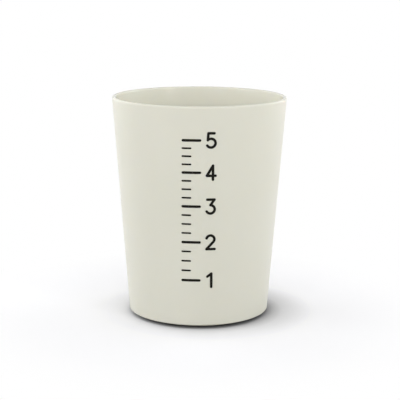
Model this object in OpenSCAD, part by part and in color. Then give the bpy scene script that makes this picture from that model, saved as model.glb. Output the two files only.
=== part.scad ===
// Reusable cup: a tapered tumbler moulded in one piece, with a fill scale printed on its front.
// Millimetres, +Z up. The origin is the middle of the plane that the cup stands on.
// The print faces -Y.

/* [Cup] */
// Widest diameter, at the lip
rim_d = 84; // [74:0.5:110]
// Diameter of the wall's outer cone at its lower end, level with the underside of the floor
base_d = 68; // [50:0.5:78]
// Height from the table to the top of the lip
cup_h = 106.5; // [85:0.5:150]
// Thickness of the wall, square to it; the lip is rounded over it
wall_t = 1.8; // [1.2:0.1:3]
// Thickness of the floor
floor_t = 2; // [1.4:0.1:4]
// Inside radius between the wall and the floor
bowl_r = 5; // [2:0.5:12]
// Outside radius between the wall and the underside of the floor
heel_r = 0.6; // [0.3:0.1:1.5]

/* [Foot] */
// Height of the stand ring, which keeps the floor off the table
stand_h = 1.7; // [1.2:0.1:3]
// Distance from the wall's lower end in to the stand ring
stand_inset = 5; // [2.5:0.5:8]
// Width of the stand ring
stand_w = 2.6; // [1.5:0.1:6]
// Radius along the four edges of the stand ring
stand_edge_r = 0.4; // [0.1:0.05:0.55]
// Radius of the dimple at the injection gate, in the middle of the underside
gate_r = 3.5; // [2:0.5:8]
// Depth of the gate dimple
gate_h = 0.5; // [0.3:0.1:1]
// Radius of the nub left where the gate was cut
nub_r = 0.9; // [0.5:0.1:1.5]
// Height of the nub, which stays inside the dimple
nub_h = 0.3; // [0.1:0.05:0.4]

/* [Fill scale] */
// Equal parts of the full measure, each with its own number
parts = 5; // [2:1:5]
// Spaces between two numbered lines
divisions = 4; // [1:1:5]
// Distance from the top of the lip down to the highest line
headroom = 15.5; // [9:0.1:40]
// Length of a numbered line
long_line = 9; // [5:0.5:12]
// Length of a line between two numbers
short_line = 4.5; // [2:0.5:8]
// Width of the pen that draws the numbered lines and the numbers
pen_w = 1.2; // [0.6:0.1:1.4]
// Width of the pen that draws the lines between them
fine_pen_w = 0.8; // [0.4:0.1:1.2]
// Height of a number, from the middle of its lowest stroke to the middle of its highest
digit_h = 6.6; // [4:0.1:8]
// Gap between a numbered line and its number
digit_gap = 2; // [0.8:0.1:5]
// Thickness of the ink
ink_t = 0.1; // [0.06:0.01:0.3]

/* [Hidden] */
$fn = 180;
// Widest angle of one step in a round stretch of the cup's section, and in a curve of the print
section_step = 7.5;
print_step = 15;

// Cone of the wall. It starts from base_d and just touches the outside of the lip's roundness.
base_r = base_d / 2;
lip_r = wall_t / 2;
lip = [rim_d / 2 - lip_r, cup_h - lip_r];
lip_run = lip - [base_r, stand_h];
taper = atan2(lip_run[0], lip_run[1]) + asin(lip_r / norm(lip_run));
function outside_r(z) = base_r + (z - stand_h) * tan(taper);
function inside_r(z) = outside_r(z) - wall_t / cos(taper);

// Centres of the round stretches of the section, as [radius, height]
floor_z = stand_h + floor_t;
heel_z = stand_h + heel_r;
heel = [outside_r(heel_z) - heel_r / cos(taper), heel_z];
bowl = [inside_r(floor_z + bowl_r) - bowl_r / cos(taper), floor_z + bowl_r];
stand_out_r = base_r - stand_inset;
stand_in_r = stand_out_r - stand_w;

// Volume under a level z: a cone's frustum, less what the rounded corner of the floor takes up.
// A square corner's fillet has its centre of area at this share of its radius from both sides.
corner_share = 0.223;
slope = tan(taper);
floor_r = inside_r(floor_z);
corner_area = bowl_r * bowl_r * (1 / tan(45 + taper / 2) - PI * (90 - taper) / 360);
corner_volume = corner_area * 2 * PI * (floor_r - corner_share * bowl_r);
function volume_at(z) = PI / 3 / slope * (pow(inside_r(z), 3) - pow(floor_r, 3)) - corner_volume;
function level_of(volume) =
    floor_z + (pow(pow(floor_r, 3) + 3 * slope / PI * (volume + corner_volume), 1 / 3) - floor_r) / slope;

// Levels of the scale, and its column of lines and numbers, centred on the front
full_measure = volume_at(cup_h - headroom);
function level(part) = level_of(full_measure * part / parts);
digit_w_share = 0.58;
column_w = long_line + digit_gap + pen_w + digit_w_share * digit_h;
line_x = -column_w / 2;
digit_x = line_x + long_line + digit_gap + pen_w / 2;

// Pen strokes of the digits 1 to 5, as shares of the digit's height from its lower left corner
digit_shares = [
    [[[0.08, 0.78], [0.36, 1], [0.36, 0]]],
    [concat(arc([0.28, 0.72], 0.28, 165, -38), [[0, 0], [0.58, 0]])],
    [[[0.04, 1], [0.54, 1], [0.26, 0.6]], arc([0.26, 0.3], 0.3, 90, -150)],
    [[[0.42, 1], [0, 0.28], [0.6, 0.28]], [[0.42, 1], [0.42, 0]]],
    [[[0.5, 1], [0.09, 1], [0.05, 0.52]], arc([0.27, 0.31], 0.31, 137, -148)]
];

// Points of an arc about the centre c, from the angle a to the angle b, in equal steps
function arc(c, r, a, b, step = print_step) =
    let (n = ceil(abs(b - a) / step))
    [for (i = [0 : n]) let (t = a + (b - a) * i / n) c + r * [cos(t), sin(t)]];
function section_arc(c, r, a, b) = arc(c, r, a, b, section_step);
function heading(a, b) = atan2(b[1] - a[1], b[0] - a[0]);
function turn(a, b, c) = let (t = heading(b, c) - heading(a, b)) t > 180 ? t - 360 : t < -180 ? t + 360 : t;

// One flank of a pen stroke between its ends, with side 1 on the left of the path and -1 on the right.
// A bend sharper than a curve's own steps is round on its outer side, and every other point is a mitre.
function flank(path, w, side) = [
    for (i = [1 : 1 : len(path) - 2])
        let (t = turn(path[i - 1], path[i], path[i + 1]), a = heading(path[i - 1], path[i]) + side * 90)
        each side * t < -2 * print_step
            ? arc(path[i], w / 2, a, a + t)
            : [path[i] + w / 2 / cos(t / 2) * [cos(a + t / 2), sin(a + t / 2)]]
];
function reversed(list) = [for (i = [len(list) - 1 : -1 : 0]) list[i]];

// Outline of a pen of width w drawn along a path, with round ends
function stroke(path, w) =
    let (n = len(path) - 1, first = heading(path[0], path[1]), last = heading(path[n - 1], path[n]))
    concat(
        arc(path[0], w / 2, first + 270, first + 90),
        flank(path, w, 1),
        arc(path[n], w / 2, last + 90, last - 90),
        reversed(flank(path, w, -1))
    );

module scale_line(z, length, w) {
    polygon(stroke([[line_x + w / 2, z], [line_x + length - w / 2, z]], w));
}

module digit(number) {
    for (path = digit_shares[number - 1])
        polygon(stroke(path * digit_h, pen_w));
}

// Lays a flat drawing, with X across and Y up, on the front of the wall as a film of ink
module ink() {
    low = heel_z;
    high = cup_h - wall_t;
    film = ink_t / cos(taper);
    color("#1d1b17")
        intersection() {
            rotate([90, 0, 0]) linear_extrude(rim_d) children();
            rotate_extrude()
                polygon([
                    [outside_r(low), low], [outside_r(low) + film, low],
                    [outside_r(high) + film, high], [outside_r(high), high]
                ]);
        }
}

module cup() {
    gate_z = stand_h + gate_h;
    color("#e3e1d5")
        rotate_extrude()
            polygon(concat(
                [[0, gate_z - nub_h], [nub_r, gate_z - nub_h], [nub_r, gate_z]],
                [[gate_r, gate_z], [gate_r, stand_h]],
                section_arc([stand_in_r - stand_edge_r, stand_h - stand_edge_r], stand_edge_r, 90, 0),
                section_arc([stand_in_r + stand_edge_r, stand_edge_r], stand_edge_r, 180, 270),
                section_arc([stand_out_r - stand_edge_r, stand_edge_r], stand_edge_r, 270, 360),
                section_arc([stand_out_r + stand_edge_r, stand_h - stand_edge_r], stand_edge_r, 180, 90),
                section_arc(heel, heel_r, -90, -taper),
                section_arc(lip, lip_r, -taper, 180 - taper),
                section_arc(bowl, bowl_r, -taper, -90),
                [[0, floor_z]]
            ));
}

module scale_lines() {
    ink() {
        for (part = [1 : parts])
            scale_line(level(part), long_line, pen_w);
        for (part = [1 : 1 : parts - 1], i = [1 : 1 : divisions - 1])
            scale_line(level(part + i / divisions), short_line, fine_pen_w);
    }
}

module scale_numbers() {
    ink()
        for (part = [1 : parts])
            translate([digit_x, level(part) - digit_h / 2]) digit(part);
}

cup();
scale_lines();
scale_numbers();
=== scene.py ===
import math

import bpy
import numpy as np
from bpy.props import FloatProperty, FloatVectorProperty, IntProperty, PointerProperty
from bpy.types import Operator, Panel, PropertyGroup
from mathutils import Matrix, Vector


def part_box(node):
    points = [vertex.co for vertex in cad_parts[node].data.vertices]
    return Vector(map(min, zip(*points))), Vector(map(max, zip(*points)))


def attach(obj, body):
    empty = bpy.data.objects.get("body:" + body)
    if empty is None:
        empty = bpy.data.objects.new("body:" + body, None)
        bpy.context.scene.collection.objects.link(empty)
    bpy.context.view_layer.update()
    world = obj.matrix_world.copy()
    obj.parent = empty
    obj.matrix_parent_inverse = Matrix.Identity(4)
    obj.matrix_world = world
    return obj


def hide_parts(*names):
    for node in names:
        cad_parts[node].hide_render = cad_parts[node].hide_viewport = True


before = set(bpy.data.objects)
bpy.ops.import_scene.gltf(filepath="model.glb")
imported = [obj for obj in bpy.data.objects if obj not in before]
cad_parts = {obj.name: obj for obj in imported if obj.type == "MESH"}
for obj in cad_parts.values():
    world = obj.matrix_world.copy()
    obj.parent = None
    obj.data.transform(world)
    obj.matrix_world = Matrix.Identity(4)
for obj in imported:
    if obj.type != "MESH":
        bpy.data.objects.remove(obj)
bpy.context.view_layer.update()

bl_info = {
    "name": "Reusable cup",
    "version": (1, 0, 0),
    "blender": (4, 5, 0),
    "location": "View3D > Sidebar > Cup",
    "description": "A moulded drinking cup with a printed fill scale, on a white studio floor",
    "category": "Object",
}

MM = 0.001
CUP_LOW, CUP_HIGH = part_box("cup")

# The moulding's two sides, each with the lowest and highest roughness of its skin and its specular level. The
# outside was shaped by a spark-eroded cavity, and the inside by a smoother core, from the top of the lip in.
SKINS = {
    "satin_polypropylene": (0.3, 0.38, 0.45),
    "smooth_polypropylene": (0.12, 0.2, 0.7),
}
# Lowest and highest roughness of the ink
INK_ROUGHNESS = (0.38, 0.5)
# Values between which nearly all of a noise pattern lies
NOISE_RANGE = (0.3, 0.7)

# Each softbox: its turn from the camera's side to the right and its elevation, in degrees, its distance from
# the middle of the cup, its width and its height, in metres, and its brightness, where 1 is white paper. The
# near ones brighten the wall's sides and the lip, and the strips give the sheen in front.
SOFTBOXES = {
    "left_strip_softbox": (-27, 14, 0.9, 0.12, 0.8, 1.15),
    "right_strip_softbox": (42, 14, 0.9, 0.12, 0.8, 5.4),
    "left_front_softbox": (-75, 20, 0.8, 0.5, 0.5, 1.7),
    "front_near_softbox": (0, 40, 0.3, 0.2, 0.1, 1.6),
    "left_near_softbox": (-80, 30, 0.25, 0.12, 0.08, 0.8),
    "right_near_softbox": (80, 30, 0.25, 0.12, 0.08, 1.8),
    "left_back_softbox": (-120, 22, 0.25, 0.15, 0.15, 1.9),
    "right_back_softbox": (120, 22, 0.25, 0.15, 0.15, 1.7),
}
# The surroundings, as they light the cup: their brightness at the horizon, and then each change upwards, with
# the two elevations between which it happens, in degrees, and the brightness above it.
HORIZON_BRIGHTNESS = 0.85
SURROUNDINGS = ((10, 14, 1.98), (27, 33, 0), (50, 60, 0.25))
# Distances from the cup's axis between which the floor fades to plain white
FLOOR_FADE = (60 * MM, 130 * MM)
# The paper's tone where it is seen, and its colour for the light that it throws back on the cup. The first is
# a little above white, so that it comes out nearly white close to the cup as well, and a little blue, which
# makes up for the warm light that the cup throws on it.
FLOOR_SEEN = (1.035, 1.035, 1.062, 1.0)
FLOOR_BOUNCE = "#BCBCBC"
# Painted shade: the floor paper's colour is darkened where something is close above it, on top of the shadows
# that the lamps cast. Each row gives how far it looks, the way it leans as it looks up, and the power of the
# open share. Two of them lean to the front left, so that the painted shade is deeper at the back right.
PAINTED_CONTACT_SHADES = (
    (8 * MM, (-0.75, -0.35, 0.55), 0.46),
    (25 * MM, (-0.75, -0.35, 0.55), 0.39),
    (25 * MM, (0, 0, 1), 0.26),
)

# Points of an outline that are closer than this, in metres, are one point
SAME_PLACE = 1e-9
# Sockets of a Mix node's colours, which share their names with its other types
MIX_A, MIX_B, MIX_RESULT = 6, 7, 2


def linear(hex_colour):
    """A colour written as sRGB hex, as linear red, green, blue and alpha."""
    srgb = np.array([int(hex_colour[i:i + 2], 16) for i in (1, 3, 5)]) / 255
    rgb = np.where(srgb <= 0.04045, srgb / 12.92, ((srgb + 0.055) / 1.055) ** 2.4)
    return (*rgb.tolist(), 1.0)


def length(name, description, millimetres):
    """A size property in metres, with its default given in millimetres."""
    return FloatProperty(
        name=name, description=description, default=millimetres * MM,
        min=0.0, subtype="DISTANCE", unit="LENGTH", precision=4)


def colour(name, description, hex_colour):
    """A colour property, with its default given as sRGB hex."""
    return FloatVectorProperty(
        name=name, description=description, default=linear(hex_colour),
        size=4, min=0.0, max=1.0, subtype="COLOR")


def brightness(name, description, default):
    """A brightness property, where 1 is the brightness of white paper."""
    return FloatProperty(name=name, description=description, default=default, min=0.0)


def angle(name, description, degrees):
    """An angle property, with its default given in degrees."""
    return FloatProperty(
        name=name, description=description, default=math.radians(degrees),
        subtype="ANGLE", unit="ROTATION")


class CupSizes(PropertyGroup):
    lip_d: length("Lip diameter", "Widest diameter, at the lip", (CUP_HIGH.x - CUP_LOW.x) / MM)
    height: length("Height", "From the table to the top of the lip", (CUP_HIGH.z - CUP_LOW.z) / MM)
    base_d: length("Base diameter", "Diameter of the wall's outer cone at its heel", 68)
    wall: length("Wall", "Thickness of the wall, square to it", 1.8)
    floor: length("Floor", "Thickness of the floor", 2)
    bowl_r: length("Bowl radius", "Inside radius between the wall and the floor", 5)
    heel_r: length("Heel radius", "Outside radius at the lower end of the wall", 0.6)
    stand_h: length("Stand height", "Height of the stand ring under the heel", 1.7)
    stand_inset: length("Stand inset", "How far the stand ring is set in from the heel", 5)
    stand_w: length("Stand width", "Width of the stand ring", 2.6)
    edge_r: length("Edge radius", "Radius along the edges of the stand ring", 0.4)
    gate_r: length("Gate radius", "Radius of the dimple at the injection gate", 3.5)
    gate_h: length("Gate height", "Depth of the gate dimple", 0.5)
    nub_r: length("Nub radius", "Radius of the nub left where the gate was cut", 0.9)
    nub_h: length("Nub height", "Height of the nub", 0.3)
    fine_r: length("Fine radius", "Radius along the edges of the gate dimple and its nub", 0.12)
    row: length("Row", "Longest step between two rings of points on a straight stretch", 2.5)
    step: angle("Step", "Widest turn between two rings of points on a round stretch", 7.5)
    segments: IntProperty(
        name="Segments", description="Points in each ring", default=256, min=24, max=720)


class CupFinish(PropertyGroup):
    plastic: colour("Plastic", "Warm ivory of the moulded plastic", "#DDDCD0")
    plastic_flow: colour("Flow", "The same plastic where its pigment lies thinner", "#D9D8CA")
    ink: colour("Ink", "Black of the cured ink", "#14130E")
    ink_thin: colour("Thin ink", "The ink where the pad laid it thinner", "#1B1A15")


class StudioSettings(PropertyGroup):
    camera_distance: length("Distance", "From the cup's axis to the camera, level", 602.9)
    camera_height: length("Height", "Height of the camera above the table", 177.4)
    camera_pitch: angle("Pitch", "How far the camera looks down", 11.45)
    camera_yaw: angle("Yaw", "How far the camera is turned to its left", -0.051)
    camera_roll: angle("Roll", "How far the camera leans to its left", 0.315)
    camera_lens: FloatProperty(
        name="Lens", description="Focal length for a sensor 36 mm wide, in millimetres",
        default=113.1, min=1.0)
    floor_width: length("Floor", "Width and depth of the floor paper", 12000)
    surroundings: brightness("Surroundings", "White walls of the studio, as they light the cup", 1)
    softboxes: brightness("Softboxes", "All softboxes together", 1)


def rounded(corners, step):
    """An outline with rounded corners, as its points and its outward normals.

    Each corner is its distance from the axis, its height and its radius r. Where the outline turns by an
    angle t, the round starts r * tan(t / 2) before the corner and ends as far after it. Its points lie at the
    distance r from one centre, and turn about it by equal angles of step at most. The normal is the direction
    of travel turned a quarter turn to the right, so the solid lies on the left.
    """
    places = np.array([c[:2] for c in corners])
    ways = np.diff(places, axis=0)
    ways /= np.linalg.norm(ways, axis=1)[:, None]
    points, normals = [places[:1]], [[(ways[0][1], -ways[0][0])]]
    for place, (_, _, r), u, v in zip(places[1:-1], corners[1:-1], ways, ways[1:]):
        turn = math.atan2(u[0] * v[1] - u[1] * v[0], u @ v)
        side = math.copysign(r, turn)
        right = np.array([u[1], -u[0]])
        centre = place - u * r * math.tan(abs(turn) / 2) - side * right
        a = np.linspace(0, turn, max(2, math.ceil(abs(turn) / step) + 1))
        normal = np.column_stack([
            right[0] * np.cos(a) - right[1] * np.sin(a), right[0] * np.sin(a) + right[1] * np.cos(a)])
        points.append(centre + side * normal)
        normals.append(normal)
    points.append(places[-1:])
    normals.append([(ways[-1][1], -ways[-1][0])])
    return np.concatenate(points), np.concatenate(normals)


def with_rows(points, normals, row):
    """The same outline with each straight stretch divided evenly, into steps of row at most."""
    gaps = np.linalg.norm(np.diff(points, axis=0), axis=1)
    kept = np.append(gaps > SAME_PLACE, True)
    points, normals, gaps = points[kept], normals[kept], gaps[kept[:-1]]
    counts = np.ceil(gaps / row).astype(int)
    at = np.append(
        np.repeat(np.arange(len(counts)), counts) + np.concatenate([np.arange(n) / n for n in counts]),
        len(counts))
    order = np.arange(len(points))
    spread = [np.interp(at, order, values[:, i]) for values in (points, normals) for i in (0, 1)]
    return np.column_stack(spread[:2]), np.column_stack(spread[2:])


def revolved(name, points, normals, skins, segments):
    """A closed surface of revolution about Z.

    The point (radius, height) of the outline becomes (radius * cos a, radius * sin a, height) at each of the
    angles a, which divide the full turn evenly. The outline's two ends lie on the axis, and close it in fans.
    Each step from one point to the next has the number of its material in skins.
    """
    a = np.arange(segments) * 2 * math.pi / segments
    ring = np.column_stack([np.cos(a), np.sin(a)])

    def turned(outline):
        level = np.broadcast_to(outline[1:-1, None, 1:], (len(outline) - 2, segments, 1))
        body = np.concatenate([outline[1:-1, None, :1] * ring[None], level], axis=2).reshape(-1, 3)
        return np.concatenate([[(0, 0, outline[0, 1])], body, [(0, 0, outline[-1, 1])]])

    first = 1 + np.arange(segments)
    after = 1 + (np.arange(segments) + 1) % segments
    lower = np.arange(len(points) - 3)[:, None] * segments
    upper = lower + segments
    quads = np.stack([lower + first, lower + after, upper + after, upper + first], axis=2)
    top = segments * (len(points) - 3)
    last = 1 + segments * (len(points) - 2)
    fans = np.concatenate([
        np.column_stack([np.zeros(segments, int), after, first]),
        np.column_stack([top + first, top + after, np.full(segments, last)])])
    mesh = bpy.data.meshes.new(name)
    mesh.from_pydata(turned(points).tolist(), [], quads.reshape(-1, 4).tolist() + fans.tolist())
    mesh.polygons.foreach_set("material_index", np.concatenate([
        np.repeat(skins[1:-1], segments), np.repeat(skins[[0, -1]], segments)]).astype(np.int32))
    mesh.shade_smooth()
    mesh.normals_split_custom_set_from_vertices(turned(normals).tolist())
    piece = bpy.data.objects.new(name, mesh)
    bpy.context.collection.objects.link(piece)
    return piece


def cup_outline(s):
    """Half of the cup's section, from the middle of its underside out, up the wall, over the lip and back.

    The wall is a cone of even thickness that leaves the heel at base_d and just touches the outside of the
    lip, which is a half circle over the wall.
    """
    lip_r = s.wall / 2
    lip = np.array([s.lip_d / 2 - lip_r, s.height - lip_r])
    run = lip - (s.base_d / 2, s.stand_h)
    taper = math.atan2(*run) + math.asin(lip_r / np.linalg.norm(run))
    along = np.array([math.sin(taper), math.cos(taper)])
    across = np.array([math.cos(taper), -math.sin(taper)])
    floor_z = s.stand_h + s.floor
    inside_r = s.base_d / 2 + (floor_z - s.stand_h) * math.tan(taper) - s.wall / math.cos(taper)
    stand_r = s.base_d / 2 - s.stand_inset
    inner_r = stand_r - s.stand_w
    gate_z = s.stand_h + s.gate_h
    return [
        (0, gate_z - s.nub_h, 0), (s.nub_r, gate_z - s.nub_h, s.fine_r), (s.nub_r, gate_z, s.fine_r),
        (s.gate_r, gate_z, s.fine_r), (s.gate_r, s.stand_h, s.fine_r),
        (inner_r, s.stand_h, s.edge_r), (inner_r, 0, s.edge_r),
        (stand_r, 0, s.edge_r), (stand_r, s.stand_h, s.edge_r), (s.base_d / 2, s.stand_h, s.heel_r),
        (*(lip + lip_r * (along + across)), lip_r), (*(lip + lip_r * (along - across)), lip_r),
        (inside_r, floor_z, s.bowl_r), (0, floor_z, 0),
    ]


def add_node(tree, kind, inputs=None, **settings):
    """Adds a node with its settings, and sets each input to a value or links it to a socket."""
    node = tree.nodes.new(kind)
    for key, value in settings.items():
        setattr(node, key, value)
    for key, value in (inputs or {}).items():
        if isinstance(value, bpy.types.NodeSocket):
            tree.links.new(value, node.inputs[key])
        else:
            node.inputs[key].default_value = value
    return node


def new_material(name):
    """A material with an empty node tree."""
    material = bpy.data.materials.new(name)
    material.use_nodes = True
    material.node_tree.nodes.clear()
    return material


def moulded_polypropylene(name, smooth, rough, specular, finish):
    """Polypropylene, injection moulded.

    Its skin has the fine grain of the mould's steel, which gives a soft sheen. The plastic lets in a little
    light, which softens the lip.
    """
    material = new_material(name)
    tree = material.node_tree
    place = add_node(tree, "ShaderNodeTexCoord").outputs["Object"]
    # The pigment's flow marks are soft clouds about 30 mm wide.
    flow = add_node(
        tree, "ShaderNodeTexNoise",
        {"Vector": place, "Scale": 1 / (30 * MM), "Detail": 3.0, "Roughness": 0.5}).outputs["Fac"]
    tint = add_node(
        tree, "ShaderNodeMix",
        {"Factor": flow, MIX_A: finish.plastic, MIX_B: finish.plastic_flow},
        data_type="RGBA").outputs[MIX_RESULT]
    # Handling leaves the skin a little smoother in patches about 12 mm wide.
    wear = add_node(
        tree, "ShaderNodeTexNoise",
        {"Vector": place, "Scale": 1 / (12 * MM), "Detail": 4.0, "Roughness": 0.6}).outputs["Fac"]
    roughness = add_node(
        tree, "ShaderNodeMapRange",
        {"Value": wear, "From Min": NOISE_RANGE[0], "From Max": NOISE_RANGE[1],
         "To Min": smooth, "To Max": rough}).outputs["Result"]
    # The skin's grain is about 0.1 mm wide. It is drawn 0.5 mm wide, so that the picture can show it.
    grain = add_node(
        tree, "ShaderNodeTexNoise",
        {"Vector": place, "Scale": 1 / (0.5 * MM), "Detail": 2.0, "Roughness": 0.5}).outputs["Fac"]
    bump = add_node(
        tree, "ShaderNodeBump",
        {"Height": grain, "Distance": 0.01 * MM, "Strength": 0.6}).outputs["Normal"]
    shader = add_node(
        tree, "ShaderNodeBsdfPrincipled",
        {"Base Color": tint, "Roughness": roughness, "Normal": bump, "IOR": 1.49,
         "Specular IOR Level": specular,
         "Subsurface Weight": 0.15, "Subsurface Radius": (1.0, 0.8, 0.5), "Subsurface Scale": 2 * MM})
    add_node(tree, "ShaderNodeOutputMaterial", {"Surface": shader.outputs["BSDF"]})
    return material


def pad_printed_ink(finish):
    """Two-part pad printing ink, cured on the plastic. It is a thin black film with a soft gloss."""
    material = new_material("pad_printed_ink")
    tree = material.node_tree
    place = add_node(tree, "ShaderNodeTexCoord").outputs["Object"]
    # The pad leaves the film uneven in patches about 1.5 mm wide.
    film = add_node(
        tree, "ShaderNodeTexNoise",
        {"Vector": place, "Scale": 1 / (1.5 * MM), "Detail": 3.0, "Roughness": 0.6}).outputs["Fac"]
    tint = add_node(
        tree, "ShaderNodeMix",
        {"Factor": film, MIX_A: finish.ink, MIX_B: finish.ink_thin},
        data_type="RGBA").outputs[MIX_RESULT]
    roughness = add_node(
        tree, "ShaderNodeMapRange",
        {"Value": film, "From Min": NOISE_RANGE[0], "From Max": NOISE_RANGE[1],
         "To Min": INK_ROUGHNESS[0], "To Max": INK_ROUGHNESS[1]}).outputs["Result"]
    bump = add_node(
        tree, "ShaderNodeBump",
        {"Height": film, "Distance": 0.01 * MM, "Strength": 0.4}).outputs["Normal"]
    shader = add_node(
        tree, "ShaderNodeBsdfPrincipled",
        {"Base Color": tint, "Roughness": roughness, "Normal": bump, "IOR": 1.5, "Specular IOR Level": 0.1})
    add_node(tree, "ShaderNodeOutputMaterial", {"Surface": shader.outputs["BSDF"]})
    return material


def seen_rays(tree):
    """1 on rays that carry the picture: from the camera, in a reflection or through glass."""
    rays = add_node(tree, "ShaderNodeLightPath").outputs
    mirrored = add_node(
        tree, "ShaderNodeMath",
        {0: rays["Is Glossy Ray"], 1: rays["Is Transmission Ray"]}, operation="MAXIMUM").outputs[0]
    return add_node(
        tree, "ShaderNodeMath", {0: rays["Is Camera Ray"], 1: mirrored}, operation="MAXIMUM").outputs[0]


def white_floor_paper():
    """White background paper with no sheen, which keeps the cup's shadow, deepened by painted shade, and is
    plain white further out.
    """
    material = new_material("white_floor_paper")
    tree = material.node_tree
    place = add_node(tree, "ShaderNodeTexCoord").outputs["Object"]
    far = add_node(tree, "ShaderNodeVectorMath", {0: place}, operation="LENGTH").outputs["Value"]
    fade = add_node(
        tree, "ShaderNodeMapRange",
        {"Value": far, "From Min": FLOOR_FADE[0], "From Max": FLOOR_FADE[1]},
        interpolation_type="SMOOTHSTEP").outputs["Result"]
    seen = seen_rays(tree)
    white = add_node(tree, "ShaderNodeMath", {0: fade, 1: seen}, operation="MULTIPLY").outputs[0]
    tone = add_node(
        tree, "ShaderNodeMix",
        {"Factor": seen, MIX_A: linear(FLOOR_BOUNCE), MIX_B: FLOOR_SEEN},
        data_type="RGBA").outputs[MIX_RESULT]
    # Painted shade: each step darkens the paper's tone, as seen and as thrown back, where the cup is close
    # above it.
    for reach, lean, power in PAINTED_CONTACT_SHADES:
        way = add_node(tree, "ShaderNodeCombineXYZ", dict(enumerate(Vector(lean).normalized()))).outputs[0]
        open_share = add_node(
            tree, "ShaderNodeAmbientOcclusion", {"Distance": reach, "Normal": way}, samples=16).outputs["AO"]
        shade = add_node(tree, "ShaderNodeMath", {0: open_share, 1: power}, operation="POWER").outputs[0]
        tone = add_node(tree, "ShaderNodeVectorMath", {0: tone, "Scale": shade}, operation="SCALE").outputs[0]
    paper = add_node(tree, "ShaderNodeBsdfDiffuse", {"Color": tone}).outputs[0]
    glow = add_node(tree, "ShaderNodeEmission", {"Color": (1, 1, 1, 1), "Strength": 1.0}).outputs[0]
    mixed = add_node(tree, "ShaderNodeMixShader", {0: white, 1: paper, 2: glow}).outputs[0]
    add_node(tree, "ShaderNodeOutputMaterial", {"Surface": mixed})
    return material


def white_surroundings(strength):
    """World that lights the cup from all round, most from low on the walls, and is plain white where seen."""
    world = bpy.data.worlds.new("white_surroundings")
    world.use_nodes = True
    tree = world.node_tree
    tree.nodes.clear()
    way = add_node(tree, "ShaderNodeTexCoord").outputs["Object"]
    rise = add_node(tree, "ShaderNodeSeparateXYZ", {0: way}).outputs["Z"]
    level = HORIZON_BRIGHTNESS * strength
    for low, high, above in SURROUNDINGS:
        level = add_node(
            tree, "ShaderNodeMapRange",
            {"Value": rise, "From Min": math.sin(math.radians(low)), "From Max": math.sin(math.radians(high)),
             "To Min": level, "To Max": above * strength}, interpolation_type="SMOOTHSTEP").outputs["Result"]
    lit = add_node(tree, "ShaderNodeBackground", {"Color": (1, 1, 1, 1), "Strength": level}).outputs[0]
    white = add_node(tree, "ShaderNodeBackground", {"Color": (1, 1, 1, 1), "Strength": 1.0}).outputs[0]
    mixed = add_node(tree, "ShaderNodeMixShader", {0: seen_rays(tree), 1: lit, 2: white}).outputs[0]
    add_node(tree, "ShaderNodeOutputWorld", {"Surface": mixed})
    return world


def softbox(name, turn, elevation, distance, width, height, strength, target):
    """A rectangular lamp that faces the target.

    It hangs at a distance from the target, turned from the camera's side by the angle turn to the right, and
    raised by the angle elevation. A flat lamp of even brightness b sends out pi * b * its area.
    """
    lamp = bpy.data.lights.new(name, "AREA")
    lamp.shape = "RECTANGLE"
    lamp.size, lamp.size_y = width, height
    lamp.energy = math.pi * strength * width * height
    hung = bpy.data.objects.new(name, lamp)
    level = math.cos(elevation)
    way = Vector((math.sin(turn) * level, -math.cos(turn) * level, math.sin(elevation)))
    facing = way.to_track_quat("Z", "Y").to_matrix().to_4x4()
    hung.matrix_world = Matrix.Translation(target + distance * way) @ facing
    bpy.context.collection.objects.link(hung)
    return hung


class CUP_OT_moulding(Operator):
    """Make the moulded cup in place of its CAD solid"""
    bl_idname = "cup.moulding"
    bl_label = "Moulded cup"

    def execute(self, context):
        sizes = context.scene.cup_sizes
        points, normals = with_rows(*rounded(cup_outline(sizes), sizes.step), sizes.row)
        skins = (np.arange(len(points) - 1) >= np.argmax(points[:, 1])).astype(int)
        piece = revolved("moulded_cup", points, normals, skins, sizes.segments)
        for name, skin in SKINS.items():
            piece.data.materials.append(moulded_polypropylene(name, *skin, context.scene.cup_finish))
        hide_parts("cup")
        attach(piece, "root")
        return {"FINISHED"}


class CUP_OT_print(Operator):
    """Ink the printed lines and numbers"""
    bl_idname = "cup.print"
    bl_label = "Printed scale"

    def execute(self, context):
        ink = pad_printed_ink(context.scene.cup_finish)
        for name in ("scale_lines", "scale_numbers"):
            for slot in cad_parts[name].material_slots:
                slot.material = ink
        return {"FINISHED"}


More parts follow.
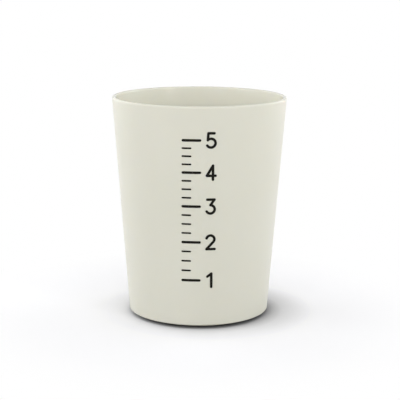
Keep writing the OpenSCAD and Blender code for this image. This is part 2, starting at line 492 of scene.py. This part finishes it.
class CUP_OT_studio(Operator):
    """Set the floor, the surroundings, the lamps and the camera"""
    bl_idname = "cup.studio"
    bl_label = "White studio"

    def execute(self, context):
        s = context.scene.cup_studio
        self.floor(context, s)
        context.scene.world = white_surroundings(s.surroundings)
        self.lamps(s)
        self.camera(context, s)
        context.scene.view_settings.view_transform = "Standard"
        return {"FINISHED"}

    def floor(self, context, s):
        half = s.floor_width / 2
        mesh = bpy.data.meshes.new("floor")
        corners = [(-half, -half, 0), (half, -half, 0), (half, half, 0), (-half, half, 0)]
        mesh.from_pydata(corners, [], [(0, 1, 2, 3)])
        mesh.materials.append(white_floor_paper())
        floor = bpy.data.objects.new("floor", mesh)
        context.collection.objects.link(floor)

    def lamps(self, s):
        middle = Vector((0, 0, CUP_HIGH.z / 2))
        for name, (turn, elevation, distance, width, height, strength) in SOFTBOXES.items():
            softbox(
                name, math.radians(turn), math.radians(elevation), distance, width, height,
                strength * s.softboxes, middle)

    def camera(self, context, s):
        data = bpy.data.cameras.new("camera")
        data.sensor_width = 36.0
        data.lens = s.camera_lens
        camera = bpy.data.objects.new("camera", data)
        camera.matrix_world = (
            Matrix.Translation((0, -s.camera_distance, s.camera_height))
            @ Matrix.Rotation(s.camera_yaw, 4, "Z")
            @ Matrix.Rotation(math.pi / 2 - s.camera_pitch, 4, "X")
            @ Matrix.Rotation(s.camera_roll, 4, "Z"))
        context.collection.objects.link(camera)
        context.scene.camera = camera


class VIEW3D_PT_cup(Panel):
    """The cup's pieces, sizes and colours"""
    bl_label = "Reusable cup"
    bl_space_type = "VIEW_3D"
    bl_region_type = "UI"
    bl_category = "Cup"

    def draw(self, context):
        for step in STEPS:
            self.layout.operator(step.bl_idname)
        for group in SETTINGS:
            box = self.layout.box()
            for name in SETTINGS[group].__annotations__:
                box.prop(getattr(context.scene, group), name)


STEPS = (CUP_OT_moulding, CUP_OT_print, CUP_OT_studio)
SETTINGS = {"cup_sizes": CupSizes, "cup_finish": CupFinish, "cup_studio": StudioSettings}


def register():
    for cls in (*SETTINGS.values(), *STEPS, VIEW3D_PT_cup):
        bpy.utils.register_class(cls)
    for name, group in SETTINGS.items():
        setattr(bpy.types.Scene, name, PointerProperty(type=group))


def unregister():
    for name in SETTINGS:
        delattr(bpy.types.Scene, name)
    for cls in (VIEW3D_PT_cup, *reversed(STEPS), *reversed(SETTINGS.values())):
        bpy.utils.unregister_class(cls)


def main():
    register()
    bpy.ops.cup.moulding()
    bpy.ops.cup.print()
    bpy.ops.cup.studio()


if __name__ == "__main__":
    main()
